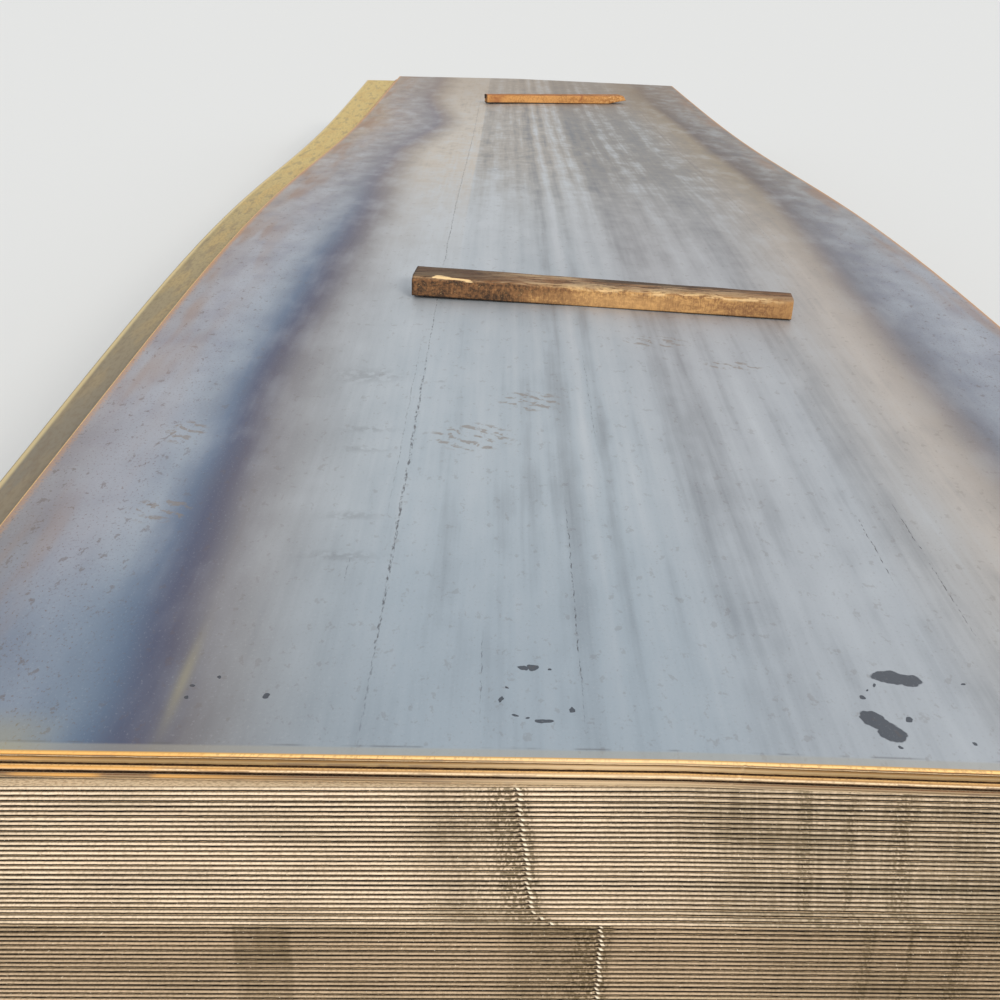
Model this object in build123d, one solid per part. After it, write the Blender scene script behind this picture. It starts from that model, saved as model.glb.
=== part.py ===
from build123d import *

import math
import os

os.makedirs("parts", exist_ok=True)

# Millimetres. Z is up, Y runs along the stock and X across it. The origin is on the
# floor under the middle of the whole stack, and the end seen in the photo faces -Y.

# One plate of the stock, cut from coil, and the height that each one adds to the stack
WIDTH = 1500.0
LENGTH = 6000.0
THICK = 4.75
PITCH = 5.25

# How many plates lie in each lift, from the floor up
LOWER_COUNT = 32
UPPER_COUNT = 28
LOOSE_COUNT = 3
STACK_COUNT = LOWER_COUNT + UPPER_COUNT + LOOSE_COUNT + 1

# Where the middle of each lift was set down, across and along the stack. The loose plates
# and the top one are also slewed, by a turn in degrees.
LOWER_X = -4.0
LOWER_Y = -6.5
UPPER_X = -87.0
UPPER_Y = -4.5
LOOSE_X = (11.5, 20.5, 25.0)
LOOSE_Y = (-4.0, -2.0, 2.0)
LOOSE_TURN = (-1.07, -1.11, -1.14)
TOP_X = 27.0
TOP_Y = 3.0
TOP_TURN = -1.15

# The upper lift leans sideways by this much a plate, and its lowest plates step out and
# across
LEAN = 0.67
STEP_X = (18.0, 9.0, 3.0)
STEP_Y = (-3.6, -2.6, -1.2)

# Shape of the topmost plate: a long wave near the end seen in the photo, higher on the
# left, a low ridge along its middle and a far right corner that hangs. The lowest plate
# is flat, and each one between takes its share of the shape.
WAVE_LEFT = 78.0
WAVE_RIGHT = 66.0
WAVE_AT = -1165.0
WAVE_LONG = 1530.0
RIDGE_HIGH = 9.0
RIDGE_X = -30.0
HANG = 13.0
STATIONS = 7

# The nick that the chipped shear blade leaves in the near end of every plate, measured
# across the plate from its middle: the loose plates were sheared in another setting
LIFT_NICK_X = -88.0
LOOSE_NICK_X = 59.0
NICK_WIDTH = 7.0
NICK_DEEP = 2.0

# The two sawn battens that lie on the top plate. Their middles and turns are measured
# from the plate's own middle, and the rests from its surface there.
BATTEN_WIDE = 75.0
BATTEN_HIGH = 38.0
NEAR_X = 18.0
NEAR_Y = -1700.0
NEAR_TURN = -4.7
NEAR_REST = -0.5
NEAR_LONG = 692.0
NEAR_TAPER = 25.0
WORN_EDGE = 4.0
FAR_X = 66.0
FAR_Y = 1946.0
FAR_TURN = 18.0
FAR_REST = 0.4
FAR_LONG = 688.0
FAR_TAPER = 33.0
BROKEN_LONG = 93.0
BROKEN_RISE = 17.0
BROKEN_BACK = 11.0


def rise(x, y):
    """Height of the topmost plate over a flat one, at a point in plan."""
    side = (x + WIDTH / 2) / WIDTH
    wave = WAVE_LEFT + (WAVE_RIGHT - WAVE_LEFT) * side
    bulge = math.exp(-(((y - WAVE_AT) / WAVE_LONG) ** 2))
    ridge = RIDGE_HIGH * (1 - abs(x - RIDGE_X) / (WIDTH / 2))
    hang = HANG * side * (y + LENGTH / 2) / LENGTH
    return wave * bulge + ridge - hang


def underside(level, x, y):
    """Height of the underside of the plate at this level, at a point in plan."""
    return level * (PITCH + rise(x, y) / (STACK_COUNT - 1))


def placed(x, y, at):
    """Carry a point of a plate, measured from its middle, to where the plate lies."""
    shift_x, shift_y, turn = at
    c = math.cos(math.radians(turn))
    s = math.sin(math.radians(turn))
    return shift_x + c * x - s * y, shift_y + s * x + c * y


def across_at(line, along, at):
    """Distance across a plate of its left edge (-1), the ridge (0) or right edge (1)."""
    if line:
        return line * WIDTH / 2
    shift_x, _, turn = at
    swing = math.sin(math.radians(turn)) * along
    return (RIDGE_X - shift_x + swing) / math.cos(math.radians(turn))


def section(level, line, at):
    """Lengthwise section of a plate along one edge or along the ridge."""
    low = []
    for i in range(STATIONS):
        along = LENGTH * (i / (STATIONS - 1) - 0.5)
        x, y = placed(across_at(line, along, at), along, at)
        low.append(Vector(x, y, underside(level, x, y)))
    high = [point + Vector(0, 0, THICK) for point in low]
    edges = [
        Edge.make_spline(low),
        Edge.make_line(low[-1], high[-1]),
        Edge.make_spline(high),
        Edge.make_line(high[0], low[0]),
    ]
    return Wire(edges)


def plate(level, at, nick_x):
    """One sheared plate, sprung to its place in the stack, with the blade's nick."""
    if level == 0:
        body = Pos(at[0], at[1], THICK / 2) * Box(WIDTH, LENGTH, THICK)
    else:
        body = Solid.make_loft([section(level, line, at) for line in (-1, 0, 1)], ruled=True)
    x, y = placed(nick_x, -LENGTH / 2, at)
    height = underside(level, x, y) - THICK / 2
    groove = Polygon(
        (-NICK_WIDTH / 2, -NICK_DEEP), (NICK_WIDTH / 2, -NICK_DEEP), (NICK_WIDTH / 2, 0),
        (-NICK_WIDTH / 3, NICK_DEEP), (-NICK_WIDTH / 2, 0), align=None,
    )
    return body - Pos(x, y, height) * Rot(0, 0, at[2]) * extrude(groove, 2 * THICK)


def lower_lift():
    """The lift that stands on the floor, its ends flush."""
    at = (LOWER_X, LOWER_Y, 0)
    return [plate(i, at, LIFT_NICK_X) for i in range(LOWER_COUNT)]


def upper_lift():
    """The lift above it: a few plates stepped out at its foot, the rest flush."""
    plates = []
    for i in range(UPPER_COUNT):
        lean = LEAN * (UPPER_COUNT - 1 - i)
        step_x = STEP_X[i] if i < len(STEP_X) else 0
        step_y = STEP_Y[i] if i < len(STEP_Y) else 0
        at = (UPPER_X + lean + step_x, UPPER_Y + step_y, 0)
        plates.append(plate(LOWER_COUNT + i, at, LIFT_NICK_X))
    return plates


def loose_plates():
    """The plates slewed across the upper lift, under the top one."""
    plates = []
    for i in range(LOOSE_COUNT):
        at = (LOOSE_X[i], LOOSE_Y[i], LOOSE_TURN[i])
        plates.append(plate(LOWER_COUNT + UPPER_COUNT + i, at, LOOSE_NICK_X))
    return plates


def top_plate():
    """The plate on which the battens lie."""
    return plate(STACK_COUNT - 1, (TOP_X, TOP_Y, TOP_TURN), LOOSE_NICK_X)


def on_top_plate(shape, at, turn, rest):
    """Lay a batten on the top plate, tipped to the slope of the plate under it."""
    x, y = placed(at[0], at[1], (TOP_X, TOP_Y, TOP_TURN))
    level = STACK_COUNT - 1
    reach = BATTEN_WIDE
    along = (underside(level, x, y + reach) - underside(level, x, y - reach)) / (2 * reach)
    across = (underside(level, x + reach, y) - underside(level, x - reach, y)) / (2 * reach)
    height = underside(level, x, y) + THICK + rest
    tip = Rot(math.degrees(along), -math.degrees(across), 0)
    return Pos(x, y, height) * tip * Rot(0, 0, turn + TOP_TURN) * shape


def near_batten():
    """Whole batten, sawn narrower towards its right end, its upper edges worn round."""
    half = NEAR_LONG / 2
    wide = BATTEN_WIDE / 2
    outline = Polygon(
        (-half, -wide), (half, -wide), (half, wide - NEAR_TAPER), (-half, wide), align=None
    )
    body = extrude(outline, BATTEN_HIGH)
    upper = [edge for edge in body.edges().group_by(Axis.Z)[-1] if edge.length > half]
    return on_top_plate(chamfer(upper, WORN_EDGE), (NEAR_X, NEAR_Y), NEAR_TURN, NEAR_REST)


def far_batten():
    """Batten sawn narrower towards its left end; its right end split away from below."""
    half = FAR_LONG / 2
    wide = BATTEN_WIDE / 2
    outline = Polygon(
        (-half, -wide), (half, -wide), (half, wide), (-half, wide - FAR_TAPER), align=None
    )
    side = Polygon(
        (-half, 0), (half - BROKEN_LONG, 0), (half, BROKEN_RISE),
        (half - BROKEN_BACK, BATTEN_HIGH), (-half, BATTEN_HIGH), align=None,
    )
    body = extrude(outline, BATTEN_HIGH) & extrude(Plane.XZ * side, BATTEN_WIDE, both=True)
    return on_top_plate(body, (FAR_X, FAR_Y), FAR_TURN, FAR_REST)


export_step(Compound(children=lower_lift()), "parts/lower_lift.step")
export_step(Compound(children=upper_lift()), "parts/upper_lift.step")
export_step(Compound(children=loose_plates()), "parts/loose_plates.step")
export_step(top_plate(), "parts/top_plate.step")
export_step(near_batten(), "parts/near_batten.step")
export_step(far_batten(), "parts/far_batten.step")
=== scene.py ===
"""Looks of a low stack of hot-rolled steel plates with two timber battens lying on it.

The pieces follow one another as the stack was put together: the two lifts, the loose
plates slewed across them, the top plate and the battens, then the floor, the light and
the camera. Metres, Z up, +Y along the plates away from the end that the camera sees.
"""

import math
from types import SimpleNamespace

import bpy
import numpy as np
from mathutils import Matrix


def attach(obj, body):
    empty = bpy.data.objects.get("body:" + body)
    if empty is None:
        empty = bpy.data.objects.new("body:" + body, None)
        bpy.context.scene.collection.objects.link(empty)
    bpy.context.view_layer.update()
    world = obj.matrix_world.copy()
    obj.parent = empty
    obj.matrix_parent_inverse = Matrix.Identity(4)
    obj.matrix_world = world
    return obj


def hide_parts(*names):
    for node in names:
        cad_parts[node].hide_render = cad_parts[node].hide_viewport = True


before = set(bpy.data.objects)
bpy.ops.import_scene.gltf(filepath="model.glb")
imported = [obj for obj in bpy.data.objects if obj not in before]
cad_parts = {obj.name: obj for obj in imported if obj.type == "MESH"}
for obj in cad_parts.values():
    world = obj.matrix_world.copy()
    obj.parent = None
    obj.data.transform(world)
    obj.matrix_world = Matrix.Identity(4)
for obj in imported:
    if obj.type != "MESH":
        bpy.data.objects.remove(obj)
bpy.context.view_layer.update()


# The lower lift: thirty-two plates that stand on the floor with their ends flush. Each is
# 5 mm hot-rolled strip, sheared to 1.5 x 6 m, so its rim has a rolled-over upper arris, a
# pale cut face, a torn lower part and a small burr.

WIDE = 1.5
LONG = 6.0
THICK = 0.00475
PITCH = 0.00525
TOP_LEVEL = 63

# The shape of the topmost plate, of which each plate below takes its share
WAVE_LEFT = 0.078
WAVE_RIGHT = 0.066
WAVE_AT = -1.165
WAVE_LONG = 1.530
RIDGE_HIGH = 0.009
RIDGE_X = -0.030
HANG = 0.013

# The sheared section: how far each point stands out from the plate's outline, and its
# height as a share of the thickness
SECTION = np.array([
    (-0.0140, 1.0), (-0.0017, 1.0), (-0.0008, 0.965), (-0.0002, 0.88), (0.0, 0.76),
    (-0.0001, 0.42), (-0.0004, 0.20), (-0.0008, 0.07), (-0.0013, 0.0), (-0.0140, 0.0),
])
LOWER_COUNT = 32
LOWER_AT = (-0.004, -0.0065, 0.0)
LIFT_NICK = -0.088


def rise(x, y):
    """Height of the topmost plate over a flat one: a wave, a low ridge, less a hang."""
    side = (x + WIDE / 2) / WIDE
    wave = WAVE_LEFT + (WAVE_RIGHT - WAVE_LEFT) * side
    bulge = np.exp(-(((y - WAVE_AT) / WAVE_LONG) ** 2))
    ridge = RIDGE_HIGH * (1 - np.abs(x - RIDGE_X) / (WIDE / 2))
    return wave * bulge + ridge - HANG * side * (y + LONG / 2) / LONG


def on_plate(level, at, u, v, h):
    """Point of a plate in the stack: u across and v along it, h up its thickness.

    The point is turned and shifted to where the plate lies, and its height is that many
    plates up, each taking an equal share of the rise.
    """
    turn = math.radians(at[2])
    x = at[0] + math.cos(turn) * u - math.sin(turn) * (v - LONG / 2)
    y = at[1] + math.sin(turn) * u + math.cos(turn) * (v - LONG / 2)
    z = level * (PITCH + rise(x, y) / TOP_LEVEL) + h * THICK
    return np.stack([x, y, z], axis=-1)


def ripple(rng, s, reach, count=7, lowest=1.5, highest=60.0):
    """Sum of sine waves of random length and phase along s, of about the given reach."""
    waves = rng.uniform(lowest, highest, count)[:, None]
    phase = rng.uniform(0, 2 * math.pi, count)[:, None]
    return reach * np.sin(2 * math.pi * waves * s[None, :] + phase).sum(axis=0) / math.sqrt(count)


def ring(nick, near_step):
    """Stations round a plate's outline, closest together at the nick in its near end.

    Gives the distances across the near end, each station's place as a share of the half
    width and half length, and its distance round the rim, where each side has its own ten.
    """
    near = np.arange(-WIDE / 2, WIDE / 2, near_step)
    near = np.unique(np.round(np.concatenate([near, nick + np.arange(-0.008, 0.0085, 0.001)]), 5))
    side = np.linspace(-1, 1, 41)[:-1]
    far = np.linspace(1, -1, 41)[:-1]
    ones = np.ones(len(side))
    share_u = np.concatenate([near / (WIDE / 2), ones, far, -ones])
    share_v = np.concatenate([-np.ones(len(near)), side, ones, -side])
    around = np.concatenate([near, 10 + side * LONG / 2, 20 + far, 30 + side * LONG / 2])
    return near, share_u, share_v, around


def sheared_out(rng, near, around, nick):
    """How far the rim stands out at each station and each point of the section.

    It is the section, plus a slow waviness of the cut at the near end, plus a tear that
    grows towards the lower arris, plus the nick's dent with a small curl beside it.
    """
    out, height = SECTION.T
    number = np.arange(len(SECTION))
    cut = (number > 1) & (number < len(SECTION) - 1)
    torn_part = (number > 4) & (number < len(SECTION) - 1)
    push = np.zeros(len(around))
    push[:len(near)] = rng.uniform(-0.0003, 0.0003) + ripple(rng, near, 0.00007)
    torn = ripple(rng, around, 0.00018, highest=90.0)
    outward = out + cut * push[:, None] + torn_part * (1 - height) * torn[:, None]
    away = (near - nick)[:, None]
    dent = -0.0012 * np.exp(-(((away + 0.0025) / 0.0017) ** 2))
    slanted = (away - 0.0070 + 0.0110 * height) / 0.0016
    curl = 0.0003 * np.exp(-(slanted**2)) * np.clip(1 - 3 * np.abs(height - 0.7), 0, None)
    outward[:len(near)] += cut * (dent * height + curl)
    return outward


def rolled_grid(at, columns, lengths):
    """Grid over a rolled face, ruled from the left edge to the ridge and on to the right."""
    inset = SECTION[0, 0]
    across = np.concatenate([np.linspace(0, 1, columns + 1), np.linspace(1, 2, columns + 1)[1:]])
    along = np.linspace(-inset, LONG + inset, lengths + 1)
    t, v = np.meshgrid(across, along)
    left = -(WIDE / 2 + inset)
    swing = math.sin(math.radians(at[2])) * (v - LONG / 2)
    ridge = (RIDGE_X - at[0] + swing) / math.cos(math.radians(at[2]))
    u = np.where(t < 1, left + (ridge - left) * t, ridge + (-left - ridge) * (t - 1))
    return u, v


def quads(rows, columns, closed=False):
    """Corner numbers of the faces of a grid of points, whose last row may meet the first."""
    i = np.arange(rows if closed else rows - 1)[:, None]
    j = (i + 1) % rows
    k = np.arange(columns - 1)[None, :]
    corners = (i * columns + k, i * columns + k + 1, j * columns + k + 1, j * columns + k)
    return np.stack(corners, axis=-1)


def plates(name, rows, nick, near_step=0.0055, columns=1, lengths=24):
    """Sheared plates as one piece, each given as its number in the stack and its place.

    The rim is a closed ring: the sheared section, as distance outward and height, is
    carried round a rectangle that grows with that distance. The two rolled faces close it.
    """
    near, share_u, share_v, around = ring(nick, near_step)
    points, uv_plate, uv_edge, faces, kinds = [], [], [], [], []

    def add(level, at, u, v, h, s, corners, cut):
        """One grid of points of a plate, at distance s round its rim, and its faces."""
        u, v, h, s = np.broadcast_arrays(u, v, h, s)
        faces.append(sum(len(grid) for grid in points) + corners.reshape(-1, 4))
        points.append(on_plate(level, at, u, v, h).reshape(-1, 3))
        uv_plate.append(np.stack([u, v], axis=-1).reshape(-1, 2))
        uv_edge.append(np.stack([s, level + 0.02 + 0.96 * h], axis=-1).reshape(-1, 2))
        kinds.append(np.broadcast_to(cut, corners.shape[:2]).reshape(-1))

    height = SECTION[:, 1]
    part = np.arange(len(SECTION) - 1)[None, :]
    cut = (part > 0) & (part < len(SECTION) - 2)
    rim = quads(len(around), len(SECTION), closed=True)
    for level, at in rows:
        rng = np.random.default_rng(1000 + level)
        outward = sheared_out(rng, near, around, nick)
        u = share_u[:, None] * (WIDE / 2 + outward)
        v = LONG / 2 + share_v[:, None] * (LONG / 2 + outward)
        add(level, at, u, v, height, around[:, None], rim, cut)
        u, v = rolled_grid(at, columns, lengths)
        sheet = quads(*u.shape)
        add(level, at, u, v, 1.0, 40.0, sheet, False)
        add(level, at, u, v, 0.0, 40.0, sheet[..., ::-1], False)
    return surface(name, points, faces, {"plate": uv_plate, "edge": uv_edge}, kinds)


def surface(name, points, faces, coordinates, kinds=None):
    """Mesh object from blocks of points and four-cornered faces, with its coordinates."""
    points = np.concatenate(points)
    faces = np.concatenate(faces)
    mesh = bpy.data.meshes.new(name)
    mesh.from_pydata(points.tolist(), [], faces.tolist())
    for label, blocks in coordinates.items():
        layer = mesh.uv_layers.new(name=label)
        layer.uv.foreach_set("vector", np.concatenate(blocks)[faces.ravel()].astype("f").ravel())
    mesh.polygons.foreach_set("use_smooth", np.ones(len(faces), dtype=bool))
    if kinds is not None:
        mesh.polygons.foreach_set("material_index", np.concatenate(kinds).astype("i"))
    mesh.update()
    piece = bpy.data.objects.new(name, mesh)
    bpy.context.collection.objects.link(piece)
    return piece


# Shader maths. Every finish is worked out from two coordinates that each plate carries:
# "plate", the distance across it from its middle and along it from its near end, and
# "edge", the distance round its rim and its number in the stack plus the height in it.

def tone(red, green, blue):
    """A colour given as screen values from 0 to 255, as the linear colour of a socket."""
    return tuple((value / 255) ** 2.2 for value in (red, green, blue)) + (1.0,)


class Wire:
    """One socket of a node tree, so that shader maths reads as plain sums."""

    def __init__(self, paint, socket):
        self.paint = paint
        self.socket = socket

    def maths(self, kind, *others):
        """Math node of the given kind, with this wire as its first value."""
        values = dict(enumerate((self,) + others))
        return self.paint.node("ShaderNodeMath", {"operation": kind}, values)

    def __add__(self, other):
        return self.maths("ADD", other)

    __radd__ = __add__

    def __sub__(self, other):
        return self.maths("SUBTRACT", other)

    def __rsub__(self, other):
        return self.maths("MULTIPLY_ADD", -1.0, other)

    def __mul__(self, other):
        return self.maths("MULTIPLY", other)

    __rmul__ = __mul__

    def __truediv__(self, other):
        return self.maths("DIVIDE", other)

    def __rtruediv__(self, other):
        return self.maths("POWER", -1.0) * other

    def __abs__(self):
        return self.maths("ABSOLUTE")

    def most(self, other):
        """The larger of this and another value."""
        return self.maths("MAXIMUM", other)

    def least(self, other):
        """The smaller of this and another value."""
        return self.maths("MINIMUM", other)

    def step(self, low, high):
        """Rises smoothly from 0 at low to 1 at high, or falls if low is the larger."""
        settings = {"interpolation_type": "SMOOTHSTEP"}
        return self.paint.node("ShaderNodeMapRange", settings, {0: self, 1: low, 2: high})

    def bell(self, centre, width):
        """1 at the centre, fading on both sides to a third at the given width."""
        away = (self - centre) / width
        return (away * away * -1.0).maths("EXPONENT")


class Paint:
    """A material under construction."""

    def __init__(self, name):
        self.material = bpy.data.materials.new(name)
        self.material.use_nodes = True
        self.tree = self.material.node_tree
        self.tree.nodes.clear()

    def feed(self, socket, value):
        """Link a wire to a socket, or set the socket to a plain value."""
        if isinstance(value, Wire):
            self.tree.links.new(value.socket, socket)
        else:
            socket.default_value = value

    def node(self, kind, settings, values, out=0):
        """Any node: its type, its settings and the values or wires of its sockets."""
        node = self.tree.nodes.new(kind)
        for name, value in settings.items():
            if name == "stops":
                self.set_stops(node.color_ramp, value)
            else:
                setattr(node, name, value)
        for name, value in values.items():
            self.feed(node.inputs[name], value)
        return Wire(self, node.outputs[out]) if node.outputs else None

    def set_stops(self, ramp, stops):
        """Give a colour ramp its stops, each a position and a colour, from low to high."""
        while len(ramp.elements) < len(stops):
            ramp.elements.new(0.5)
        for element, (place, colour) in zip(ramp.elements, stops):
            element.position = place
            element.color = colour

    def pair(self, name):
        """The two numbers of a coordinate that the mesh carries."""
        both = self.node("ShaderNodeUVMap", {"uv_map": name}, {})
        first = self.node("ShaderNodeSeparateXYZ", {}, {"Vector": both})
        return first, Wire(self, first.socket.node.outputs[1])

    def vector(self, x, y):
        """A place made of two numbers."""
        return self.node("ShaderNodeCombineXYZ", {}, {"X": x, "Y": y})

    def noise(self, x, y=None, z=None, detail=2.0, rough=0.55):
        """Cloudy noise of mean one half at a place given in lattice cells, in 1D to 3D."""
        values = {"Scale": 1.0, "Detail": detail, "Roughness": rough}
        if y is None:
            values["W"] = x
            return self.node("ShaderNodeTexNoise", {"noise_dimensions": "1D"}, values)
        parts = {"X": x, "Y": y} if z is None else {"X": x, "Y": y, "Z": z}
        values["Vector"] = self.node("ShaderNodeCombineXYZ", {}, parts)
        size = {"noise_dimensions": "2D" if z is None else "3D"}
        return self.node("ShaderNodeTexNoise", size, values)

    def mix(self, factor, first, second):
        """Colour that goes from the first to the second as the factor goes to 1."""
        values = {0: factor, 6: first, 7: second}
        return self.node("ShaderNodeMix", {"data_type": "RGBA"}, values, 2)

    def ramp(self, value, stops):
        """Colour read off a ramp of (position, colour) stops."""
        return self.node("ShaderNodeValToRGB", {"stops": stops}, {"Fac": value})

    def ovals(self, place, spots):
        """Distance to the nearest oval, in its own half sizes, so 1 on its outline."""
        nearest = None
        for u, v, half_u, half_v in spots:
            scaled = {0: place, 1: (1 / half_u, 1 / half_v, 0), 2: (-u / half_u, -v / half_v, 0)}
            scaled = self.node("ShaderNodeVectorMath", {"operation": "MULTIPLY_ADD"}, scaled)
            away = self.node("ShaderNodeVectorMath", {"operation": "LENGTH"}, {0: scaled}, "Value")
            nearest = away if nearest is None else nearest.least(away)
        return nearest

    def finish(self, colour, rough, metal, height=None, strength=0.0, distance=0.001, shine=0.5):
        """Close the material with a surface of this colour, roughness and relief."""
        values = {"Base Color": colour, "Roughness": rough, "Metallic": metal}
        values["Specular IOR Level"] = shine
        if height is not None:
            bump = {"Height": height, "Strength": strength, "Distance": distance}
            values["Normal"] = self.node("ShaderNodeBump", {}, bump)
        surface = self.node("ShaderNodeBsdfPrincipled", {}, values)
        self.node("ShaderNodeOutputMaterial", {}, {"Surface": surface})
        return self.material


def sheared(name, cream, dull, rust, zones):
    """Finish of a sheared rim: pale cut face, painted shade in the gaps, mottling and the nick's
    flakes.

    Each zone is a stretch along the end, as its start, stop, fade and share of dirt.
    """
    paint = Paint(name)
    s, number = paint.pair("edge")
    height = number.maths("FRACT")
    level = number.maths("FLOOR")
    lot = (level * 12.9898).maths("SINE").maths("MULTIPLY", 43758.5453).maths("FRACT")
    mottle = paint.noise(s * 330, level * 3.7 + height * 1.6, detail=1.0)
    broad = paint.noise(s * 7, level * 0.11, detail=1.0)
    # The cut face lies between a rolled-over upper arris and a torn lower part, which is deeper on
    # some plates than on others and is painted near-black as the shade in the gap below it
    ends = height.step(0.42 + lot * 0.06, 0.55 + lot * 0.06) * height.step(0.99, 0.90)
    # Dull and mottled just left of the nick, with painted shade fading out over the first 14 mm right
    # of it, then clean and bright
    away = (s - LIFT_NICK) * 1000
    scuffed_and_shade = (away.step(-34, -8) + away.step(-90, -30) * 0.25) * away.step(14, 2)
    patch = scuffed_and_shade * (mottle.step(0.40, 0.60) * 0.9 + 0.15)
    streaks = s.bell(0.165, 0.006) + s.bell(0.205, 0.004) + s.bell(0.253, 0.010)
    streaks = streaks * mottle.step(0.35, 0.65)
    clean = away.step(6, 22) * away.step(190, 120)
    grime = patch + streaks * 0.5 + broad.step(0.42, 0.70) * 0.22 + lot * 0.22
    # The worn blade drew upright streaks down whole stretches of every plate's end
    combed = paint.noise(s * 210, level * 0.13).step(0.24, 0.72) * 0.55 + 0.60
    for start, stop, fade, dirt in zones:
        grime = grime + s.step(start, start + fade) * s.step(stop, stop - fade) * combed * dirt
    grime = (grime * (1.0 - clean * 0.5)).least(0.95)
    face = paint.mix(grime, cream, dull)
    face = paint.mix(mottle.step(0.40, 0.75) * 0.35, face, dull)
    face = paint.mix(height.step(0.66, 0.40) * 0.55, face, rust)
    # The near-black below each cut face is painted shade in the gap between plates.
    colour = paint.mix(ends, tone(15, 10, 7), face)
    bright = paint.noise(s * 520, level * 3.3 + height * 2, detail=0.0).step(0.86, 0.92)
    # A flake curls off the nick of each plate: a pale slanting sliver, shaded on both sides
    slant = away - 1.0 + (height - 0.7) * 5.0 + (lot - 0.5) * 3.0
    flake = slant.step(-2.0, -0.9) * slant.step(3.2 - lot * 1.6, 0.9) * height.step(0.48, 0.62)
    flake = flake * height.step(0.99, 0.90) * (mottle.step(0.3, 0.55) * 0.5 + 0.5)
    shadow = slant.step(-5.4, -2.6) * slant.step(-0.6, -1.8) * height.step(0.98, 0.80)
    shadow = shadow.most(away.step(-4.0, -1.5) * away.step(5.5, 2.0) * height.step(0.50, 0.36))
    colour = paint.mix(shadow * 0.70, colour, tone(44, 31, 22))
    colour = paint.mix((bright * 0.5).most(flake), colour, tone(252, 236, 208))
    return paint.finish(colour, 0.62, 0.0, shine=0.12)


def rolled(name):
    """Finish of the hidden faces of the lifts, whose bared margins carry yellow rust."""
    paint = Paint(name)
    u, v = paint.pair("plate")
    blotch = paint.noise(u * 26, v * 5, detail=3.0)
    fine = paint.noise(u * 210, v * 60)
    khaki = paint.mix(v.step(0.3, 3.5), tone(126, 118, 104), tone(214, 186, 114))
    rust = blotch.step(0.46, 0.66) * (v.step(0.4, 3.0) * 0.4 + 0.1)
    colour = paint.mix(rust, khaki, tone(204, 168, 96))
    worn = paint.noise(u * 60, v * 9, detail=3.0).step(0.54, 0.68)
    colour = paint.mix(worn * 0.4, colour, tone(122, 108, 88))
    colour = paint.mix(fine.step(0.42, 0.72) * 0.35, colour, tone(118, 100, 76))
    colour = paint.mix(u.step(-0.739, -0.745) * 0.7, colour, tone(228, 204, 148))
    front = v.step(0.0130, 0.0100)
    speck = paint.noise(u * 240, v * 700, detail=1.0).step(0.42, 0.66) * 0.6
    speck = paint.mix(speck, tone(226, 202, 166), tone(158, 132, 102))
    colour = paint.mix(front * 0.9, colour, speck)
    return paint.finish(colour, 0.6, 0.15)


lower = [(level, LOWER_AT) for level in range(LOWER_COUNT)]
lower_lift = plates("lower_lift_plates", lower, LIFT_NICK)
lower_lift.data.materials.append(rolled("bared_margin_low"))
lower_cut = sheared(
    "sheared_low", tone(202, 176, 145), tone(122, 105, 79), tone(98, 74, 50),
    ((-0.432, -0.375, 0.004, 0.38), (-0.19, -0.09, 0.03, 0.30), (-0.02, 0.75, 0.08, 0.34)),
)
lower_lift.data.materials.append(lower_cut)
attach(lower_lift, "root")
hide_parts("lower_lift")


# The upper lift: twenty-eight plates set down 80 mm further left. It leans a little, and
# its three lowest plates step out sideways and forward. Its bared left margin is rusty.

UPPER_COUNT = 28
UPPER_X = -0.087
UPPER_Y = -0.0045
LEAN = 0.00067
STEPS = ((0.018, -0.0036), (0.009, -0.0026), (0.003, -0.0012))

upper = []
for i in range(UPPER_COUNT):
    step_x, step_y = STEPS[i] if i < len(STEPS) else (0, 0)
    lean = LEAN * (UPPER_COUNT - 1 - i)
    upper.append((LOWER_COUNT + i, (UPPER_X + lean + step_x, UPPER_Y + step_y, 0.0)))
upper_lift = plates("upper_lift_plates", upper, LIFT_NICK)
upper_lift.data.materials.append(rolled("bared_margin"))
upper_cut = sheared(
    "sheared_up", tone(246, 221, 190), tone(142, 126, 101), tone(132, 102, 72),
    ((-0.21, -0.10, 0.07, 0.42), (-0.03, 0.08, 0.03, 0.38), (0.03, 0.75, 0.07, 0.52)),
)
upper_lift.data.materials.append(upper_cut)
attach(upper_lift, "root")
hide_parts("upper_lift")


# Three loose plates slewed across the upper lift. Rain has run over their ends, so the
# bared ledges are orange and the cut faces are striped pale, olive and grey. The olive rim
# and ledge of the uppermost one are painted shade under the top plate.

LOOSE_AT = ((0.0115, -0.0040, -1.07), (0.0205, -0.0020, -1.11), (0.0250, 0.0020, -1.14))
LOOSE_NICK = 0.059
LOOSE_STEP = 0.004


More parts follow.
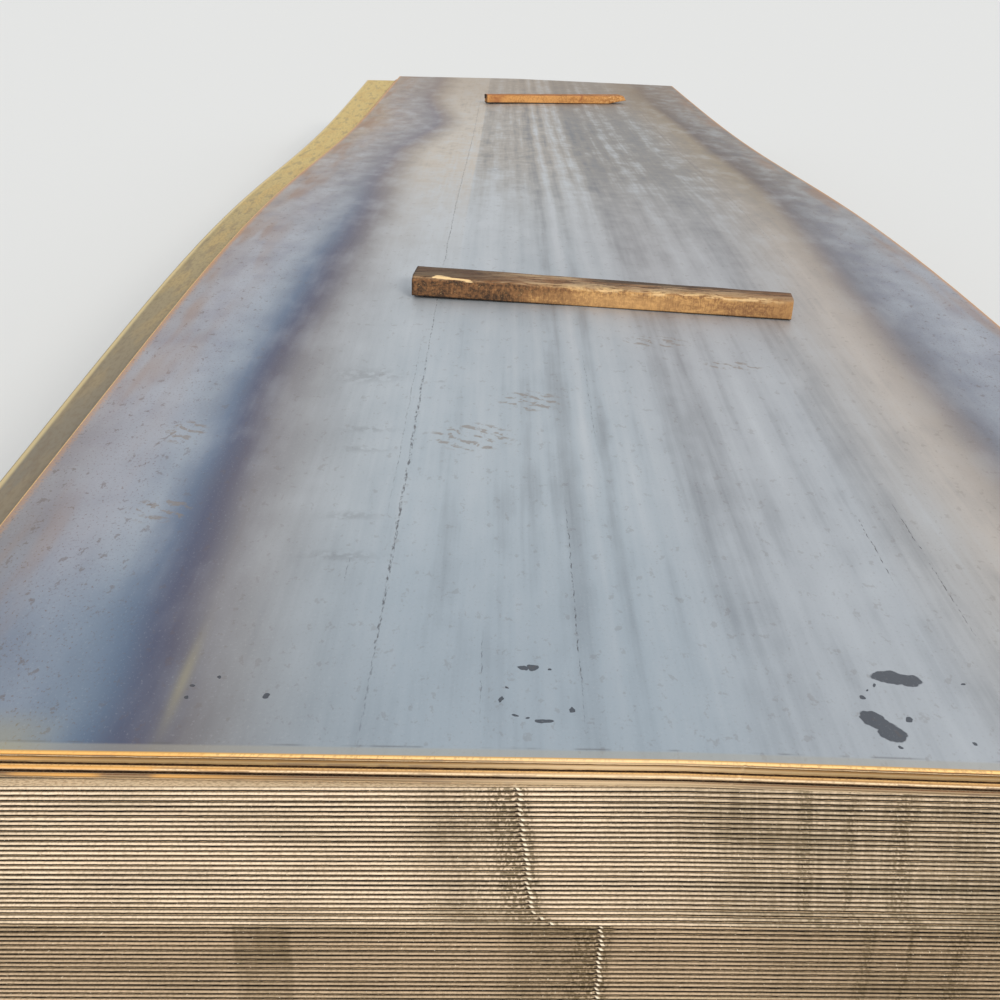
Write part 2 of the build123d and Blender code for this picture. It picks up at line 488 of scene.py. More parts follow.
def rusty_rim(name):
    """Finish of the rims near the top: each plate striped in its own way, with painted shade in the gap
    under it, and patched.
    """
    paint = Paint(name)
    s, number = paint.pair("edge")
    height = number.maths("FRACT")
    level = number.maths("FLOOR")
    grain = paint.noise(s * 330, level * 3.9 + height * 2.0)
    # The near-black at the foot of each ramp is painted shade in the gap under the plate.
    cream, gap, amber = tone(242, 214, 174), tone(26, 17, 12), tone(210, 160, 96)
    first = paint.ramp(height, [
        (0.05, gap), (0.12, tone(206, 178, 146)), (0.30, tone(224, 198, 160)),
        (0.44, tone(112, 90, 66)), (0.66, tone(128, 108, 80)), (0.84, tone(158, 132, 100)),
        (0.95, tone(118, 82, 54)), (1.00, tone(168, 134, 100)),
    ])
    second = paint.ramp(height, [
        (0.26, gap), (0.40, tone(150, 118, 84)), (0.60, cream), (0.80, cream),
        (0.90, tone(168, 128, 84)), (1.00, tone(206, 160, 104)),
    ])
    # The uppermost loose plate's rim is painted dull olive: painted shade under the top plate.
    third = paint.ramp(height, [
        (0.06, gap), (0.14, tone(162, 134, 94)), (0.30, tone(182, 156, 112)),
        (0.42, tone(126, 100, 66)), (0.56, tone(166, 142, 102)), (0.84, tone(156, 128, 86)),
        (0.95, tone(146, 112, 70)), (1.00, amber),
    ])
    fourth = paint.ramp(height, [
        (0.03, gap), (0.10, tone(206, 178, 140)), (0.32, cream), (0.40, tone(96, 68, 40)),
        (0.56, tone(104, 74, 44)), (0.68, tone(218, 166, 104)), (0.84, tone(255, 208, 136)),
        (1.00, tone(250, 202, 130)),
    ])
    colour = paint.mix(level.step(60.4, 60.6), first, second)
    colour = paint.mix(level.step(61.4, 61.6), colour, third)
    colour = paint.mix(level.step(62.4, 62.6), colour, fourth)
    lit = height.step(0.12, 0.24)
    colour = paint.mix(grain.step(0.46, 0.66) * lit * 0.40, colour, tone(150, 122, 88))
    near_nick = s.bell(-0.17, 0.05) * 0.10
    patch = (paint.noise(s * 17, level * 4.3) + near_nick).step(0.60, 0.63)
    patch = patch * height.step(0.2, 0.3) * height.step(0.80, 0.66)
    colour = paint.mix(patch * 0.6, colour, tone(120, 100, 84))
    olive = level.bell(62.0, 0.3) * 0.18
    warm = paint.noise(s * 9, level * 2.7, detail=1.0).step(0.40, 0.54)
    warm = warm * (s + olive).step(-0.30, -0.46) * height.step(0.50, 0.62)
    colour = paint.mix(warm * 0.7, colour, tone(238, 176, 92))
    rubbed = s.bell(-0.06, 0.12) * lit
    colour = paint.mix(rubbed * 0.45, colour, tone(250, 220, 176))
    return paint.finish(colour, 0.62, 0.12)


def rusty_face(name):
    """Finish of the rolled faces under the top plate: dusty, orange where most is bared."""
    paint = Paint(name)
    u, v = paint.pair("plate")
    _, number = paint.pair("edge")
    fine = paint.noise(u * 330, v * 330)
    # The ledges at the near end, painted dark in the corner under the plate above for the shade and the
    # dirt there
    # The uppermost loose plate's ledge takes the dark olive tone: painted shade under the top plate.
    ledge = paint.mix(number.step(62.3, 62.6), tone(244, 196, 130), tone(140, 112, 74))
    ledge = paint.mix(number.step(61.3, 61.6), tone(204, 182, 148), ledge)
    # The dark band at the back of each ledge is painted shade, with the dirt in that corner.
    inner = number.step(61.3, 61.6) * 0.0014 + 0.0018
    ledge = paint.mix(v.step(inner, inner + 0.0006), ledge, tone(64, 44, 28))
    streaked = paint.noise(v * 6, u * 30).step(0.4, 0.6)
    side = paint.mix(streaked, tone(206, 160, 122), tone(184, 130, 84))
    colour = paint.mix(v.step(0.014, 0.012), side, ledge)
    colour = paint.mix(fine.step(0.45, 0.70) * 0.4, colour, tone(134, 104, 72))
    return paint.finish(colour, 0.62, 0.1)


loose = [(LOWER_COUNT + UPPER_COUNT + i, at) for i, at in enumerate(LOOSE_AT)]
loose_plates = plates("loose_plates_slewed", loose, LOOSE_NICK, LOOSE_STEP)
loose_plates.data.materials.append(rusty_face("rusty_face"))
loose_plates.data.materials.append(rusty_rim("rusty_rim"))
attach(loose_plates, "root")
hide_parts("loose_plates")


# The top plate. Its mill scale took its colours as the hot coil cooled: grey down the
# middle with long light and dark streaks from the rolls, and one wavy heat-tinted band
# along each side, violet within and steel blue without.

TOP_AT = (0.027, 0.003, -1.15)


def places(paint):
    """The numbers that the finish of the top face is worked out from.

    u is the distance across and v along the plate, left_in and right_in are the distances
    in from the middle line of each side's heat band, which sways, and the rest are noises.
    """
    u, v = paint.pair("plate")
    cloud = paint.noise(u * 4.0, v * 1.1)
    sway = (paint.noise(v * 1.1) - 0.5) * 0.05
    left_line = sway + v.bell(4.15, 0.55) * 0.080 + v.step(0.28, 0.0) * 0.028 - 0.524
    left_line = left_line + v.bell(2.0, 0.35) * 0.02 - v.bell(0.80, 0.30) * 0.014
    right_line = sway * -0.6 + v.step(1.0, 2.7) * 0.055 - v.step(4.1, 5.2) * 0.045 + 0.530
    ragged_u = (paint.noise(u * 60, v * 60) - 0.5) * 0.011 + u
    ragged_v = (paint.noise(u * 60 + 19, v * 60) - 0.5) * 0.011 + v
    return SimpleNamespace(
        u=u, v=v, along=v.step(1.1, 3.1), cloud=cloud, hair=paint.noise(u * 110, v * 3.5),
        sandy=paint.noise(u * 60, v * 60).step(0.38, 0.54),
        left_in=u - left_line + (cloud - 0.5) * 0.03,
        right_in=right_line - u + (cloud - 0.5) * 0.03,
        ragged=paint.vector(ragged_u, ragged_v),
    )


def heat_tints(paint, here):
    """Colours that the cooling coil took across its width, one ramp for each quarter."""
    # From the rim of the plate, over the band, to the middle: cool near the camera's end,
    # warm and without the blue towards the other
    near_left = paint.ramp(here.left_in * 2 + 0.5, [
        (0.04, tone(164, 156, 156)), (0.18, tone(166, 165, 172)), (0.28, tone(166, 169, 178)),
        (0.38, tone(152, 161, 173)), (0.45, tone(108, 123, 145)), (0.50, tone(94, 99, 120)),
        (0.54, tone(102, 100, 114)), (0.61, tone(138, 135, 138)), (0.69, tone(158, 158, 160)),
        (0.86, tone(173, 180, 185)), (1.00, tone(177, 187, 194)),
    ])
    far_left = paint.ramp(here.left_in * 2 + 0.5, [
        (0.04, tone(176, 154, 130)), (0.15, tone(168, 154, 144)), (0.33, tone(156, 148, 145)),
        (0.44, tone(144, 139, 141)), (0.50, tone(132, 125, 130)), (0.56, tone(150, 138, 132)),
        (0.64, tone(174, 162, 149)), (0.80, tone(174, 167, 158)),
    ])
    near_right = paint.ramp(here.right_in * 2 + 0.5, [
        (0.10, tone(168, 171, 180)), (0.30, tone(162, 167, 177)), (0.42, tone(140, 145, 156)),
        (0.48, tone(128, 130, 139)), (0.53, tone(144, 138, 138)), (0.60, tone(176, 167, 159)),
        (0.68, tone(194, 186, 178)), (0.80, tone(181, 179, 177)), (1.00, tone(180, 185, 190)),
    ])
    far_right = paint.ramp(here.right_in * 2 + 0.5, [
        (0.10, tone(150, 137, 124)), (0.30, tone(140, 131, 122)), (0.42, tone(124, 114, 106)),
        (0.50, tone(112, 98, 90)), (0.58, tone(156, 141, 120)), (0.75, tone(158, 147, 134)),
        (0.90, tone(148, 143, 137)),
    ])
    left = paint.mix(here.v.step(1.2, 3.3), near_left, far_left)
    right = paint.mix(here.along, near_right, far_right)
    return paint.mix(here.u.step(-0.02, 0.14), left, right)


def roll_streaks(paint, here, colour):
    """Lengthwise light and dark: streaks at set places, finer ones, a glare and a strip."""
    u, v, along, cloud = here.u, here.v, here.along, here.cloud
    # Light and dark streaks that the rolls left, each at its place across the plate
    rolled_in = paint.ramp((u + 0.25) / 0.65, [
        ((place + 0.25) / 0.65, (0.5 + lift,) * 3 + (1.0,))
        for place, lift in (
            (-0.250, 0.06), (-0.225, -0.10), (-0.190, 0.12), (-0.160, -0.08), (-0.140, 0.06),
            (-0.125, -0.10), (-0.105, 0.06), (-0.090, -0.12), (-0.070, -0.24), (-0.058, 0.0),
            (-0.045, 0.26), (-0.032, -0.06), (-0.020, -0.22), (-0.006, 0.08), (0.012, 0.27),
            (0.030, 0.02), (0.048, 0.22), (0.060, 0.16), (0.070, -0.08), (0.090, -0.28),
            (0.110, -0.10), (0.130, -0.20), (0.157, 0.05), (0.180, -0.12), (0.205, 0.22),
            (0.235, -0.06), (0.258, 0.11), (0.300, -0.11), (0.335, -0.14), (0.365, 0.10),
            (0.400, 0.0),
        )
    ])
    broken = paint.noise(u * 30, v * 22, detail=1.0)
    middle = here.left_in.step(0.05, 0.22) * here.right_in.step(0.03, 0.16)
    light = (rolled_in - 0.5) * (cloud * 1.8 + 0.5) * v.step(-0.5, 0.7)
    light = light * (v.step(1.0, 2.6) * 0.3 + 1.0) + (here.hair - 0.5) * (along * 0.3 + 0.50)
    light = (light + (broken - 0.5) * (along * 0.5 + 0.15)) * (middle * 0.75 + 0.25)
    smear = paint.noise(u * 13, v * 5, detail=3.0)
    light = light + (smear - 0.5) * (along * 0.4 + 0.65)
    # A broad glare on the rise of the plate, and a pale strip left of the longest scratch
    light = light + u.bell(-0.28, 0.24) * v.bell(1.85, 0.85) * here.left_in.step(0.0, 0.14) * 0.50
    pale = here.left_in.step(0.05, 0.13) * u.step(-0.248, -0.256) * along
    colour = paint.mix(pale * 0.85, colour, tone(206, 194, 178))
    colour = paint.mix(light.most(0.0).least(0.7), colour, tone(204, 209, 213))
    return paint.mix((light * -1.0).most(0.0).least(0.7), colour, tone(110, 114, 120))


def dirt(paint, here, colour):
    """Dust and sooty darkening over the scale, painted shade near the front, and the clouds along its
    margins.
    """
    u, v, left_in, right_in = here.u, here.v, here.left_in, here.right_in
    # A film of brown dust over the middle, and more of it towards the far end
    dusty = v.bell(1.55, 0.85) * u.bell(0.14, 0.42) * 0.13
    colour = paint.mix(dusty, colour, tone(150, 104, 66))
    dusty = v.step(4.0, 5.8) * (u.step(0.3, 0.5) * 0.15 + 0.42)
    colour = paint.mix(dusty, colour, tone(160, 136, 108))
    # Darker near the front on the left and down the left edge there: painted shade. Darker at the far
    # end on the right: sooty dirt.
    soot_and_shade = (v.step(0.30, 0.02) * u.bell(-0.40, 0.11)).most(u.step(-0.66, -0.73) * v.step(0.8, 0.5))
    soot_and_shade = soot_and_shade.most(v.step(4.2, 5.4) * u.step(0.30, 0.52))
    soot_and_shade = soot_and_shade.most(u.step(-0.65, -0.72) * v.bell(0.38, 0.15) * 1.5)
    colour = paint.mix(soot_and_shade * 0.21, colour, tone(46, 34, 24))
    shaded = v.step(0.62, 0.05) * u.step(0.30, -0.10) * u.step(-0.44, -0.28)
    colour = paint.mix(shaded * 0.42, colour, tone(146, 160, 172))
    # Bluer and darker outside the left band near the front: painted shade.
    gloom = left_in.step(0.01, -0.04) * v.step(0.42, 0.18)
    colour = paint.mix(gloom * 0.50, colour, tone(96, 120, 144))
    deep = left_in.bell(0.0, 0.030) * v.step(0.75, 0.20)
    colour = paint.mix(deep * 0.45, colour, tone(86, 90, 112))
    # The scale is mottled with paler and darker clouds along both margins
    margin = left_in.step(0.00, -0.09).most(right_in.step(0.04, -0.08))
    margin = margin * (v.step(0.3, 1.5) * 0.65 + 0.35)
    mottle = paint.noise(u * 17, v * 10)
    colour = paint.mix(mottle.step(0.44, 0.82) * margin * 0.20, colour, tone(104, 108, 136))
    return paint.mix(mottle.step(0.64, 0.20) * margin * 0.28, colour, tone(184, 192, 200))


def scratches(paint, here, colour):
    """Long dashed scratches: very thin ovals along the plate, some fainter than others."""
    u, v = here.u, here.v
    wobble = (paint.noise(v * 9) - 0.5) * 0.005 + (paint.noise(v * 120, detail=1.0) - 0.5) * 0.002
    thread = paint.vector(u + wobble, v)
    dashes = paint.noise(u * 300, v * 85).step(0.40, 0.66)
    strong = paint.ovals(thread, (
        (-0.283, 2.96, 0.0016, 3.20), (-0.283, 0.56, 0.0023, 0.66), (-0.080, 0.27, 0.0010, 0.27),
        (0.280, 0.40, 0.0010, 0.11), (0.335, 0.37, 0.0010, 0.20),
    ))
    faint = paint.ovals(thread, (
        (-0.297, 0.76, 0.0009, 0.40), (-0.030, 0.85, 0.0008, 0.24), (0.447, 3.6, 0.0020, 2.50),
        (-0.176, 0.13, 0.0008, 0.09), (-0.330, 0.32, 0.0008, 0.04),
    ))
    lines = strong.step(1.0, 0.5) * 0.75
    lines = lines.most(faint.step(1.0, 0.5) * 0.5) * dashes
    return paint.mix(lines, colour, tone(74, 70, 72))


def drops(paint, here, colour):
    """Dark drops, still wet, and the rings that others dried to."""
    wet = paint.ovals(here.ragged, (
        (0.222, 0.138, 0.016, 0.011), (0.240, 0.134, 0.012, 0.010), (0.199, 0.052, 0.012, 0.015),
        (0.187, 0.071, 0.010, 0.012), (0.192, 0.062, 0.011, 0.010), (0.221, 0.070, 0.004, 0.004),
        (0.187, 0.103, 0.0024, 0.003), (0.194, 0.115, 0.002, 0.002), (0.202, 0.124, 0.002, 0.002),
        (0.291, 0.129, 0.0024, 0.002), (0.269, 0.038, 0.0024, 0.002), (0.201, 0.031, 0.0026, 0.002),
        (-0.135, 0.137, 0.005, 0.004), (-0.126, 0.138, 0.005, 0.005), (-0.110, 0.137, 0.0024, 0.002),
        (-0.158, 0.087, 0.0026, 0.003), (-0.150, 0.104, 0.002, 0.002), (-0.093, 0.071, 0.003, 0.004),
        (-0.116, 0.055, 0.008, 0.0036), (-0.143, 0.061, 0.004, 0.002), (-0.131, 0.057, 0.002, 0.002),
        (-0.449, 0.100, 0.0028, 0.0028), (-0.451, 0.082, 0.0026, 0.0026), (-0.427, 0.115, 0.002, 0.002),
        (-0.378, 0.086, 0.0024, 0.005),
    )).step(1.10, 0.94)
    return paint.mix(wet * 0.88, colour, tone(62, 66, 74)), wet


def prints(paint, here, colour):
    """Boot prints of pale sand in broken bars, and smudges where the roll touched."""
    u, v = here.u, here.v
    printed = paint.ovals(here.ragged, (
        (-0.200, 0.680, 0.062, 0.050), (-0.118, 0.812, 0.052, 0.040), (-0.572, 0.452, 0.040, 0.036),
        (0.215, 0.990, 0.050, 0.020), (-0.600, 0.680, 0.034, 0.040), (0.10, 1.09, 0.06, 0.03),
    )).step(1.05, 0.75)
    bend = (paint.noise(u * 45, v * 45) - 0.5) * 7
    bars = (u * 160 + v * 260 + bend).maths("SINE")
    gaps = abs((u * 105 - v * 60 + bend).maths("SINE")).step(0.1, 0.4)
    tread = printed * bars.step(-0.1, 0.4) * gaps * here.sandy
    colour = paint.mix(tread * 0.60, colour, tone(140, 126, 112))
    smudge = paint.ovals(here.ragged, (
        (-0.345, 0.700, 0.050, 0.016), (-0.345, 0.635, 0.045, 0.014), (-0.340, 0.445, 0.045, 0.014),
        (-0.340, 0.350, 0.055, 0.016), (-0.255, 0.885, 0.014, 0.010), (-0.37, 0.90, 0.07, 0.04),
        (-0.20, 2.78, 0.05, 0.10), (-0.10, 3.12, 0.06, 0.08), (-0.22, 3.16, 0.03, 0.12),
        (-0.04, 4.30, 0.04, 0.10), (-0.11, 2.42, 0.04, 0.07), (0.19, 3.95, 0.05, 0.12),
    )).step(1.2, 0.0)
    return paint.mix(smudge * here.sandy * 0.30, colour, tone(112, 112, 114))


def rust(paint, here, colour):
    """Rust freckles, thickest along the margins, and orange fringes at the sheared rims."""
    u, v, left_in, right_in = here.u, here.v, here.left_in, here.right_in
    freckle = paint.noise(u * 300, v * 210, rough=0.7)
    outer = left_in.step(0.0, -0.10).most(right_in.step(0.02, -0.08)) * 0.45 + 0.12
    colour = paint.mix(freckle.step(0.62, 0.74) * outer, colour, tone(118, 88, 70))
    colour = paint.mix(freckle.step(0.38, 0.26) * 0.12, colour, tone(206, 206, 206))
    scuff = paint.noise(u * 70, v * 46, detail=3.0, rough=0.68)
    colour = paint.mix(scuff.step(0.63, 0.70) * (outer * 0.6 + 0.12), colour, tone(112, 96, 86))
    stain = paint.noise(u * 18, v * 2.6)
    edge_rust = u.step(-0.60, -0.73).most(u.step(0.66, 0.74)) * (v.step(0.2, 3.0) * 0.4 + 0.35)
    colour = paint.mix(stain.step(0.44, 0.70) * edge_rust, colour, tone(160, 128, 104))
    fray = (freckle - 0.5) * 0.02
    fringe = (u + fray).step(-0.736, -0.748).most((u + fray).step(0.738, 0.748))
    colour = paint.mix(fringe * (v.step(0.2, 1.6) * 0.35 + 0.45), colour, tone(206, 150, 96))
    strip = v.step(0.0150, 0.0110)
    colour = paint.mix(strip * 0.45, colour, tone(178, 172, 156))
    seam = v.bell(0.0150, 0.0012) * stain.step(0.48, 0.60)
    colour = paint.mix(seam * 0.5, colour, tone(104, 102, 100))
    lip = v.step(0.0038, 0.0020)
    colour = paint.mix(lip, colour, tone(224, 170, 92))
    corner = u.step(-0.53, -0.60) * v.step(0.07, 0.02)
    yellow = (u.bell(-0.460, 0.006) * v.bell(0.11, 0.07)).most(corner)
    return paint.mix(yellow * 0.35, colour, tone(186, 174, 126))


def mill_scale(name):
    """Finish of the top face: the scale as rolled, and what has come onto it since."""
    paint = Paint(name)
    here = places(paint)
    colour = heat_tints(paint, here)
    colour = roll_streaks(paint, here, colour)
    colour = dirt(paint, here, colour)
    colour = scratches(paint, here, colour)
    colour, wet = drops(paint, here, colour)
    colour = prints(paint, here, colour)
    colour = rust(paint, here, colour)
    rough = 0.54 + (here.cloud - 0.5) * 0.12 + (here.hair - 0.5) * 0.10 - wet * 0.30
    return paint.finish(colour, rough, 0.45)


top = [(TOP_LEVEL, TOP_AT)]
top_plate = plates("top_plate_scaled", top, LOOSE_NICK, LOOSE_STEP, columns=30, lengths=150)
top_plate.data.materials.append(mill_scale("mill_scale_top"))
top_plate.data.materials.append(rusty_rim("rusty_rim_top"))
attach(top_plate, "root")
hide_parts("top_plate")


# The near batten: sawn softwood, 38 mm thick, narrower to the right. It is dark with dirt
# and oil on its top and left, and its worn front arris is splintered pale.

BATTEN_WIDE = 0.075
BATTEN_HIGH = 0.038
NEAR_LONG = 0.692
NEAR_TAPER = 0.025
NEAR_X = 0.018
NEAR_Y = -1.700
NEAR_TURN = -4.7
NEAR_REST = -0.0003
WORN_EDGE = 0.0030
WORN_MORE = 0.0024

# The saw's roughness: points along and around a batten, waves of the fibres and chips
ALONG = 150
AROUND = 72
FIBRES = 26
FIBRE_DEEP = 0.0030
CHIP_LONG = 5
CHIP_DEEP = 0.0006


def lie(at_u, at_v, turn, rest):
    """Middle of a batten's underside on the top plate, and its axes ahead, aside and up.

    It is turned in plan, then tipped to the slope that the plate has over its width.
    """
    level, at = top[0]
    x, y, z = on_plate(level, at, np.array(at_u), np.array(at_v + LONG / 2), 1.0)
    reach = BATTEN_WIDE
    share = level / TOP_LEVEL
    along = share * (rise(x, y + reach) - rise(x, y - reach)) / (2 * reach)
    across = share * (rise(x + reach, y) - rise(x - reach, y)) / (2 * reach)
    c, s = math.cos(math.radians(turn + at[2])), math.sin(math.radians(turn + at[2]))
    ahead = np.array([c, s, c * across + s * along])
    aside = np.array([-s, c, -s * across + c * along])
    ahead /= np.linalg.norm(ahead)
    aside -= aside @ ahead * ahead
    aside /= np.linalg.norm(aside)
    return np.array([x, y, z + rest]), ahead, aside, np.cross(ahead, aside)


def over_ends(rng, x, y, z):
    """Carry a batten's grid over both its ends, in rough rings that shrink to the middle."""
    caps = []
    for end, way in ((0, 1), (-1, -1)):
        for share in (0.85, 0.5, 0.02):
            ring_y = y[end].mean() + (y[end] - y[end].mean()) * share
            ring_z = z[end].mean() + (z[end] - z[end].mean()) * share
            ring_x = x[end] + way * 0.0006 * rng.random(AROUND)
            caps.append((ring_x[None], ring_y[None], ring_z[None]))
    order = caps[2::-1] + [(x, y, z)] + caps[3:]
    return (np.concatenate(parts).T for parts in zip(*order))


def batten(name, place, long, wide_at, low_at, high_at, wear, seed):
    """Sawn batten: a rounded rectangle carried along its length, roughened, capped.

    wide_at, low_at and high_at give the width and the heights of the under and upper sides
    at each distance along it, and wear how deep its upper front arris is worn there. The
    fibres are products of a wave along it and one round it, and chips stand on some faces.
    """
    rng = np.random.default_rng(seed)
    stations = np.linspace(-long / 2, long / 2, ALONG)
    turns = np.linspace(0, 2 * math.pi, AROUND + 1)[:-1]
    c, s = np.cos(turns), np.sin(turns)
    square = np.maximum(np.abs(c), np.abs(s))
    box_y, box_z = c / square, s / square
    round_off = 1 - 0.035 * np.clip(np.abs(box_y * box_z) - 0.72, 0, 1) / 0.28
    x = np.repeat(stations[:, None], AROUND, axis=1)
    wide, low, high = wide_at(x), low_at(x), high_at(x)
    arris = np.clip(-box_y, 0, 1) ** 8 * np.clip(box_z, 0, 1) ** 8
    y = -BATTEN_WIDE / 2 + wide / 2 + wide / 2 * box_y * round_off + wear(x) * arris
    z = (low + high) / 2 + (high - low) / 2 * box_z * round_off - wear(x) * arris
    fibre = np.zeros_like(y)
    for _ in range(FIBRES):
        along, around = rng.uniform(2, 40), rng.integers(3, 30)
        phase = rng.uniform(0, 6.28, 2)
        fibre += np.sin(x * along * 2 + phase[0]) * np.sin(turns * around + phase[1]) / FIBRES
    chips = np.clip(rng.standard_normal((ALONG // CHIP_LONG, AROUND)), 0, 3)
    chips = np.repeat(chips, CHIP_LONG, axis=0) * np.clip(-box_y * box_z + 0.2, 0, 1)
    inward = FIBRE_DEEP * (fibre - fibre.max()) - CHIP_DEEP * chips
    y += inward * box_y * 0.6
    z += inward * np.clip(box_z, 0, 1) * 0.6
    x[0] += 0.0008 * rng.standard_normal(AROUND).cumsum() / 8
    x, y, z = over_ends(rng, x, y, z)
    middle, ahead, aside, up = place
    points = middle + x[..., None] * ahead + y[..., None] * aside + z[..., None] * up
    faces = quads(*x.shape, closed=True).reshape(-1, 4)
    grain = np.stack([x, y], -1).reshape(-1, 2)
    above = np.stack([z, x * 0], -1).reshape(-1, 2)
    return surface(name, [points.reshape(-1, 3)], [faces], {"grain": [grain], "high": [above]})


def timber(name, tones, dirtied):
    """Finish of sawn softwood: fine upright saw marks, fibres on top, dirt to the left."""
    paint = Paint(name)
    fresh, brown, dark, grey = tones
    x, y = paint.pair("grain")
    z, _ = paint.pair("high")
    cloud = paint.noise(x * 11, y * 20, z * 30, 3.0)
    fibre = paint.noise(x * 22, y * 330, z * 90)
    sawn = paint.noise(x * 620 + cloud * 4, y * 12, z * 90)
    grit = paint.noise(x * 150, y * 200, z * 170, 3.0, 0.7)
    upper = z.step(BATTEN_HIGH - 0.0065, BATTEN_HIGH - 0.0020)
    left = x.step(0.08, -0.20)
    soil = (cloud - 0.5) * 1.9 + (grit - 0.5) * 2.3 + left * dirtied
    face = paint.mix(soil.step(-0.30, 0.55), fresh, brown)
    face = paint.mix(soil.step(0.45, 1.30), face, dark)
    face = paint.mix(sawn.step(0.50, 0.72) * 0.40, face, dark)
    face = paint.mix(sawn.step(0.50, 0.30) * (left * -0.6 + 0.8) * 0.45, face, fresh)
    face = paint.mix(grit.step(0.64, 0.72) * 0.55, face, tone(222, 176, 118))
    top = paint.mix((fibre + cloud).step(0.80, 1.15), grey, brown)
    top = paint.mix((fibre * 0.6 + grit * 0.4).step(0.50, 0.60) * 0.7, top, dark)
    colour = paint.mix(upper, face, top)
    return paint, x, y, z, colour, fibre, sawn, cloud


def near_finish():
    """The near batten's timber, with pale splinters along its worn arris."""
    tones = tone(202, 154, 96), tone(130, 90, 56), tone(48, 33, 22), tone(172, 144, 110)
    paint, x, y, z, colour, fibre, sawn, cloud = timber("timber_near", tones, 0.84)
    # Its top is dark with dirt on the left and in a line along the back
    grime = (x.step(-0.10, -0.26) * 0.7).most(y.step(-0.006, 0.006) * x.step(-0.06, 0.02) * 0.85)
    colour = paint.mix(grime * z.step(0.034, 0.037), colour, tone(60, 47, 37))
    # The front is cleanest right of the middle and darkens to the right end
    clean = x.bell(0.05, 0.13) * z.step(0.030, 0.020)
    colour = paint.mix(clean * 0.5, colour, tone(212, 164, 106))
    colour = paint.mix(x.step(0.14, 0.33) * 0.48, colour, tone(124, 86, 55))
    # The arris is rubbed pale and splintered from the middle to the right end, and one
    # long sliver has come off near the left end
    torn = paint.noise(x * 30, y * 150, z * 120, 4.0, 0.65)
    line = (z + (torn - 0.5) * 0.016).bell(0.0340, 0.0034) * y.step(-0.014, -0.026)
    reach = x.step(-0.14, 0.00) * x.step(0.345, 0.30)
    edge = (torn - 0.5) * 0.080
    sliver = (x + edge).step(-0.314, -0.300) * (x + edge).step(-0.216, -0.250)
    sliver = sliver * (z + edge * 0.04 + x * 0.045).bell(0.0226, 0.0019) * y.step(-0.012, -0.024)
    rubbed = (torn * 0.6 + fibre * 0.4).step(0.46, 0.53)
    pale = (line * reach * rubbed * 0.68).most(sliver.step(0.35, 0.65))
    colour = paint.mix(pale, colour, tone(238, 202, 148))
    split = (y + 0.010 + (cloud - 0.5) * 0.03).bell(0.0, 0.0020) * x.step(-0.16, 0.06)
    colour = paint.mix(split * z.step(0.030, 0.036) * 0.85, colour, tone(46, 32, 24))
    # The underside strip and the left end face are painted dark: painted shade under the batten and on
    # its end.
    under = z.step(0.0030, 0.0010).most(x.step(-0.3440, -0.3455) * 0.5)
    colour = paint.mix(under * 0.85, colour, tone(40, 28, 20))
    return paint.finish(colour, 0.8, 0.0, fibre * 0.4 + sawn * 0.6, 0.7, 0.0012)


near_batten = batten(
    "near_batten_timber",
    lie(NEAR_X, NEAR_Y, NEAR_TURN, NEAR_REST),
    NEAR_LONG,
    wide_at=lambda x: BATTEN_WIDE - NEAR_TAPER * (x / NEAR_LONG + 0.5),
    low_at=lambda x: 0.0,
    high_at=lambda x: BATTEN_HIGH,
    wear=lambda x: WORN_EDGE + WORN_MORE * np.sin(x * 31) * np.sin(x * 57 + 1),
    seed=5,
)
near_batten.data.materials.append(near_finish())
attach(near_batten, "root")
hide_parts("near_batten")


# The far batten: a cleaner one, narrower to the left, whose right end broke off: it split
# away from below, so that the blunt, ragged tip stands clear of the plate.

FAR_LONG = 0.688
FAR_TAPER = 0.033
FAR_X = 0.066
FAR_Y = 1.946
FAR_TURN = 18.0
FAR_REST = 0.0004
FAR_WORN = 0.001
BROKEN_LONG = 0.093
BROKEN_RISE = 0.017
BROKEN_BACK = 0.011


def under_side(x):
    """Height of its underside: flat, then rising in a straight line to the broken tip."""
    return np.maximum(0, x - FAR_LONG / 2 + BROKEN_LONG) / BROKEN_LONG * BROKEN_RISE


def upper_side(x):
    """Height of its top: flat, then falling just short of the tip to meet the underside."""
    fallen = np.maximum(0, x - FAR_LONG / 2 + BROKEN_BACK) / BROKEN_BACK
    return BATTEN_HIGH - fallen * (BATTEN_HIGH - BROKEN_RISE)


def far_finish():
    """The far batten's timber: golden, a knot near its left end, torn at its tip."""
    tones = tone(204, 148, 86), tone(164, 110, 58), tone(104, 66, 38), tone(176, 118, 72)
    paint, x, y, z, colour, fibre, sawn, cloud = timber("timber_far", tones, -0.10)
    torn = paint.noise(x * 70, y * 90, z * 160)
    ragged = x.step(0.19, 0.26)
    colour = paint.mix(ragged * torn.step(0.54, 0.66) * 0.45, colour, tone(240, 200, 142))
    colour = paint.mix(ragged * torn.step(0.44, 0.32) * 0.7, colour, tone(138, 88, 46))
    knot = x.bell(-0.300, 0.030) * cloud.step(0.30, 0.55) * 0.7
    crack = x.bell(0.107 + z * 0.4, 0.006) * z.step(0.006, 0.016) * 0.7
    colour = paint.mix(knot.most(crack), colour, tone(140, 80, 48))
    # The underside strip, wider towards the left, and the left end face are painted near-black: painted
    # shade under the batten and on its end.
    shaded = 0.0075 - x.step(-0.3, 0.3) * 0.004
    under = z.step(shaded, shaded * 0.4).most(x.step(-0.3425, -0.3437))
    colour = paint.mix(under * 0.95, colour, tone(26, 17, 12))
    return paint.finish(colour, 0.8, 0.0, fibre * 0.4 + sawn * 0.6, 0.7, 0.0012)


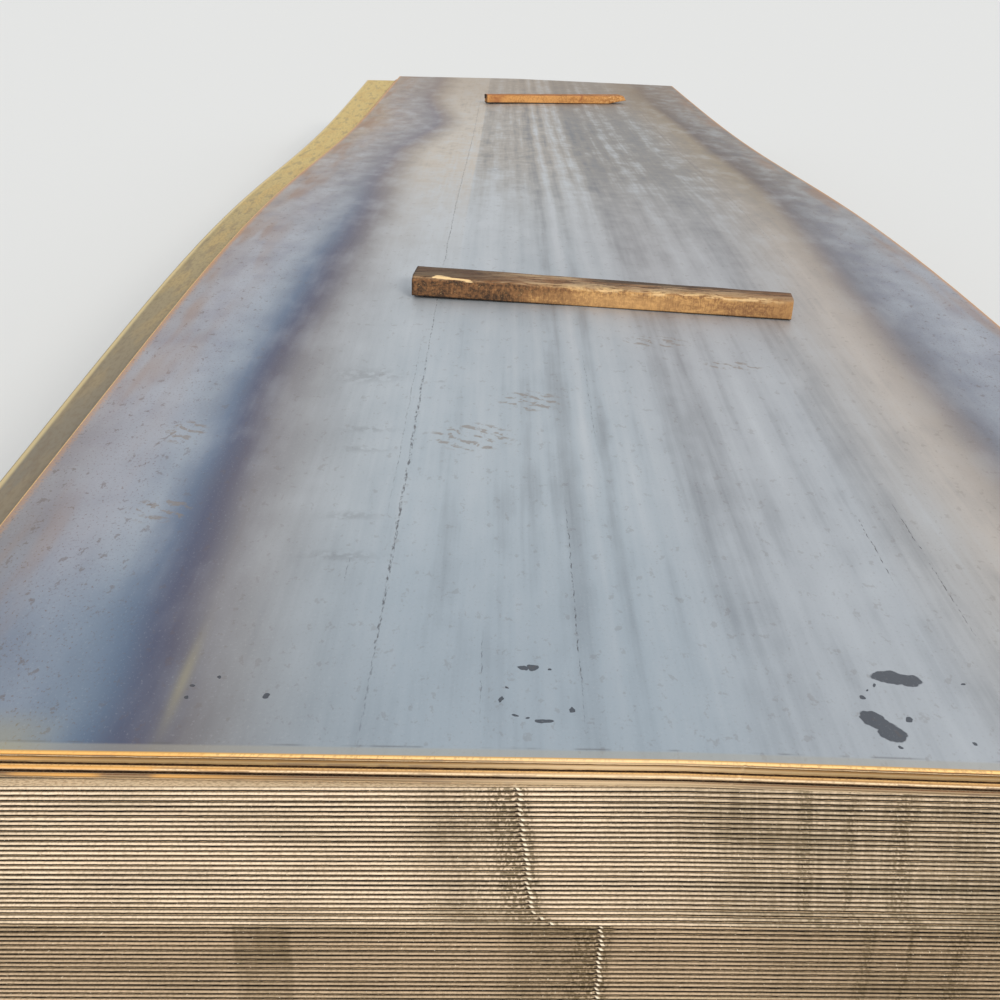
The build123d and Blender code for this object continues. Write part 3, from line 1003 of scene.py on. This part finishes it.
far_batten = batten(
    "far_batten_timber",
    lie(FAR_X, FAR_Y, FAR_TURN, FAR_REST),
    FAR_LONG,
    wide_at=lambda x: BATTEN_WIDE - FAR_TAPER * (0.5 - x / FAR_LONG),
    low_at=under_side,
    high_at=upper_side,
    wear=lambda x: FAR_WORN,
    seed=9,
)
far_batten.data.materials.append(far_finish())
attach(far_batten, "root")
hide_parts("far_batten")


# The floor and the light: a pale studio, with a soft key from behind the camera's right
# shoulder, so that the sheared ends are the brightest steel.

FLOOR_HALF = 60

floor_mesh = bpy.data.meshes.new("floor")
corners = [(x * FLOOR_HALF, y * FLOOR_HALF, 0) for x, y in ((-1, -1), (1, -1), (1, 1), (-1, 1))]
floor_mesh.from_pydata(corners, [], [(0, 1, 2, 3)])
floor = bpy.data.objects.new("floor", floor_mesh)
bpy.context.collection.objects.link(floor)
floor_paint = Paint("floor")
floor.data.materials.append(floor_paint.finish(tone(226, 226, 224), 0.9, 0.0))

world = bpy.data.worlds.new("studio")
world.use_nodes = True
world.node_tree.nodes["Background"].inputs["Color"].default_value = (0.93, 0.96, 1.0, 1.0)
world.node_tree.nodes["Background"].inputs["Strength"].default_value = 0.75
bpy.context.scene.world = world

key_data = bpy.data.lights.new("key", "SUN")
key_data.energy = 2.1
key_data.angle = math.radians(20)
key_data.color = (1.0, 0.95, 0.87)
key = bpy.data.objects.new("key", key_data)
bpy.context.collection.objects.link(key)
key.rotation_euler = (math.radians(62), 0.0, math.radians(28))


# The camera, at the photo's own place, angle and lens: it stands just off the near end,
# a little to the left, looking down the stack.

CAMERA_AT = (-0.216033, -3.820608, 1.000303)
LOOKS_DOWN = 25.282
HEADING = 1.373
TILT = 1.441
SENSOR = 36.0
LENS_TO_SENSOR = 1.174668

camera_data = bpy.data.cameras.new("camera")
camera_data.sensor_width = SENSOR
camera_data.lens = SENSOR * LENS_TO_SENSOR
camera_data.clip_start = 0.02
camera_data.clip_end = 300.0
camera = bpy.data.objects.new("camera", camera_data)
bpy.context.collection.objects.link(camera)
down, heading, tilt = (math.radians(angle) for angle in (LOOKS_DOWN, HEADING, TILT))
ahead = np.array([math.sin(heading), math.cos(heading), 0.0])
aside = np.array([math.cos(heading), -math.sin(heading), 0.0])
look = math.cos(down) * ahead - math.sin(down) * np.array([0, 0, 1.0])
above = math.sin(down) * ahead + math.cos(down) * np.array([0, 0, 1.0])
right = math.cos(tilt) * aside + math.sin(tilt) * above
above = -math.sin(tilt) * aside + math.cos(tilt) * above
matrix = np.eye(4)
matrix[:3, 0] = right
matrix[:3, 1] = above
matrix[:3, 2] = -look
matrix[:3, 3] = CAMERA_AT
camera.matrix_world = Matrix(matrix.tolist())
bpy.context.scene.camera = camera
bpy.context.scene.view_settings.view_transform = "Standard"
